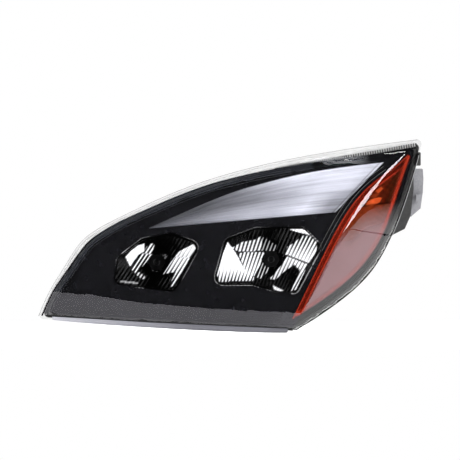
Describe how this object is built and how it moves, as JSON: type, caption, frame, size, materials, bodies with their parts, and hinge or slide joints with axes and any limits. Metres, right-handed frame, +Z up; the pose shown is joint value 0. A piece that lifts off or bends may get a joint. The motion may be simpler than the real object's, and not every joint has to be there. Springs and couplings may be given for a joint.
{
  "type": "car headlight assembly",
  "caption": "Vehicle corner headlamp with clear lens, two aimable fluted reflectors, a crescent running light and an amber side lamp.",
  "frame": {"origin": "centre of the four mounting holes, on the plane of the mounting bosses' rear faces", "axes": "+X outboard along the lamp's width, +Y rearwards into the vehicle along the mounting holes, +Z up"},
  "size_m": [0.6558, 0.265, 0.3295],
  "materials": {
    "clear_polycarbonate": "clear hard-coated",
    "seal_butyl": "soft",
    "housing_black": "moulded grain",
    "insert_brass": "knurled",
    "bracket_zinc": "die cast",
    "screw_steel": "zinc plated",
    "bezel_gloss_black": "piano black",
    "guide_opal": "opal light guide",
    "tray_white": "white moulded",
    "board_green": "solder mask",
    "led_yellow": "phosphor",
    "amber_acrylic": "amber clear",
    "chrome_plated": "metallised",
    "socket_grey": "moulded",
    "bulb_glass": "clear",
    "carrier_grey": "glass filled",
    "stud_steel": "plated",
    "acetal_white": "natural",
    "connector_black": "moulded",
    "pin_brass": "tinned",
    "wire_black": "sleeved",
    "rubber_black": "soft",
    "driver_nylon": "natural",
    "gearbox_grey": "moulded",
    "bulb_base_grey": "moulded",
    "filament_wire": "bright",
    "plug_black": "moulded",
    "cap_black": "moulded",
    "seal_silicone": "soft"
  },
  "bodies": {
    "lamp_body": {"housing": "housing_black", "mounting_inserts": "insert_brass", "lens": "clear_polycarbonate", "lens_seal": "seal_butyl", "bezel": "bezel_gloss_black", "drl_guide": "guide_opal", "drl_tray": "tray_white", "drl_board": "board_green", "drl_leds": "led_yellow", "side_lens": "amber_acrylic", "side_reflector": "chrome_plated", "outer_bracket": "bracket_zinc", "bracket_screws": "screw_steel", "pivot_stud": "stud_steel", "vertical_gearbox": "gearbox_grey", "vertical_gearbox_cover": "gearbox_grey", "horizontal_gearbox": "gearbox_grey", "horizontal_gearbox_cover": "gearbox_grey", "gearbox_screws": "screw_steel", "main_connector": "connector_black", "connector_pins": "pin_brass", "wiring_harness": "wire_black", "vent_elbows": "rubber_black"},
    "pivot": {"pivot_liner": "acetal_white"},
    "reflector_unit": {"reflector_carrier": "carrier_grey", "low_beam_reflector": "chrome_plated", "high_beam_reflector": "chrome_plated", "reflector_screws": "screw_steel", "vertical_socket": "acetal_white", "horizontal_socket": "acetal_white"},
    "side_bulb_holder": {"side_socket": "socket_grey", "side_bulb": "bulb_glass"},
    "low_beam_cap": {"low_beam_cap": "cap_black", "low_beam_cap_seal": "seal_silicone"},
    "low_beam_bulb": {"low_beam_bulb_base": "bulb_base_grey", "low_beam_bulb_glass": "bulb_glass", "low_beam_bulb_filament": "filament_wire", "low_beam_bulb_plug": "plug_black"},
    "high_beam_cap": {"high_beam_cap": "cap_black", "high_beam_cap_seal": "seal_silicone"},
    "high_beam_bulb": {"high_beam_bulb_base": "bulb_base_grey", "high_beam_bulb_glass": "bulb_glass", "high_beam_bulb_filament": "filament_wire", "high_beam_bulb_plug": "plug_black"},
    "vertical_stud": {"vertical_stud": "stud_steel"},
    "vertical_gear": {"vertical_gear": "acetal_white"},
    "vertical_driver": {"vertical_driver": "driver_nylon"},
    "horizontal_stud": {"horizontal_stud": "stud_steel"},
    "horizontal_gear": {"horizontal_gear": "acetal_white"},
    "horizontal_driver": {"horizontal_driver": "driver_nylon"}
  },
  "joints": [
    {"name": "low_beam_cap_twist", "type": "hinge", "parent": "lamp_body", "child": "low_beam_cap", "pos_m": [0.07, -0.02, 0.005], "axis": [0, 1, 0], "range_deg": [0, 45]},
    {"name": "low_beam_bulb_twist", "type": "hinge", "parent": "reflector_unit", "child": "low_beam_bulb", "pos_m": [0.07, -0.094, 0.005], "axis": [0, 1, 0], "range_deg": [0, 30]},
    {"name": "high_beam_cap_twist", "type": "hinge", "parent": "lamp_body", "child": "high_beam_cap", "pos_m": [-0.125, -0.02, 0], "axis": [0, 1, 0], "range_deg": [0, 45]},
    {"name": "high_beam_bulb_twist", "type": "hinge", "parent": "reflector_unit", "child": "high_beam_bulb", "pos_m": [-0.125, -0.094, 0], "axis": [0, 1, 0], "range_deg": [0, 30]},
    {"name": "side_bulb_twist", "type": "hinge", "parent": "lamp_body", "child": "side_bulb_holder", "pos_m": [0.244, -0.06, 0.118], "axis": [0, 1, 0], "range_deg": [0, 30]},
    {"name": "aim_yaw", "type": "hinge", "parent": "lamp_body", "child": "pivot", "pos_m": [-0.04, -0.088, 0.045], "axis": [0, 0, 1], "range_deg": [-2, 2]},
    {"name": "aim_pitch", "type": "hinge", "parent": "pivot", "child": "reflector_unit", "pos_m": [-0.04, -0.088, 0.045], "axis": [1, 0, 0], "range_deg": [-2.5, 2.5]},
    {"name": "vertical_stud_slide", "type": "slide", "parent": "lamp_body", "child": "vertical_stud", "axis": [0, 1, 0], "range_m": [-0.0045, 0.0045]},
    {"name": "vertical_gear_turn", "type": "hinge", "parent": "lamp_body", "child": "vertical_gear", "pos_m": [-0.04, -0.049, -0.055], "axis": [0, 1, 0], "range_deg": [-640.9, 640.9]},
    {"name": "vertical_driver_turn", "type": "hinge", "parent": "lamp_body", "child": "vertical_driver", "pos_m": [-0.04, -0.049, -0.0732], "axis": [0, 1, 0], "range_deg": [-640.9, 640.9]},
    {"name": "horizontal_stud_slide", "type": "slide", "parent": "lamp_body", "child": "horizontal_stud", "axis": [0, 1, 0], "range_m": [-0.00681, 0.00681]},
    {"name": "horizontal_gear_turn", "type": "hinge", "parent": "lamp_body", "child": "horizontal_gear", "pos_m": [0.15, -0.049, 0.045], "axis": [0, 1, 0], "range_deg": [-974.1, 974.1]},
    {"name": "horizontal_driver_turn", "type": "hinge", "parent": "lamp_body", "child": "horizontal_driver", "pos_m": [0.15, -0.049, 0.0268], "axis": [0, 1, 0], "range_deg": [-974.1, 974.1]}
  ],
  "couplings": [
    {"joint": "vertical_stud_slide", "follows": "aim_pitch", "m_per_rad": 0.1},
    {"joint": "vertical_gear_turn", "follows": "aim_pitch", "ratio": 251.33},
    {"joint": "vertical_driver_turn", "follows": "aim_pitch", "ratio": -251.33},
    {"joint": "horizontal_stud_slide", "follows": "aim_yaw", "m_per_rad": 0.19},
    {"joint": "horizontal_gear_turn", "follows": "aim_yaw", "ratio": 477.52},
    {"joint": "horizontal_driver_turn", "follows": "aim_yaw", "ratio": -477.52}
  ]
}
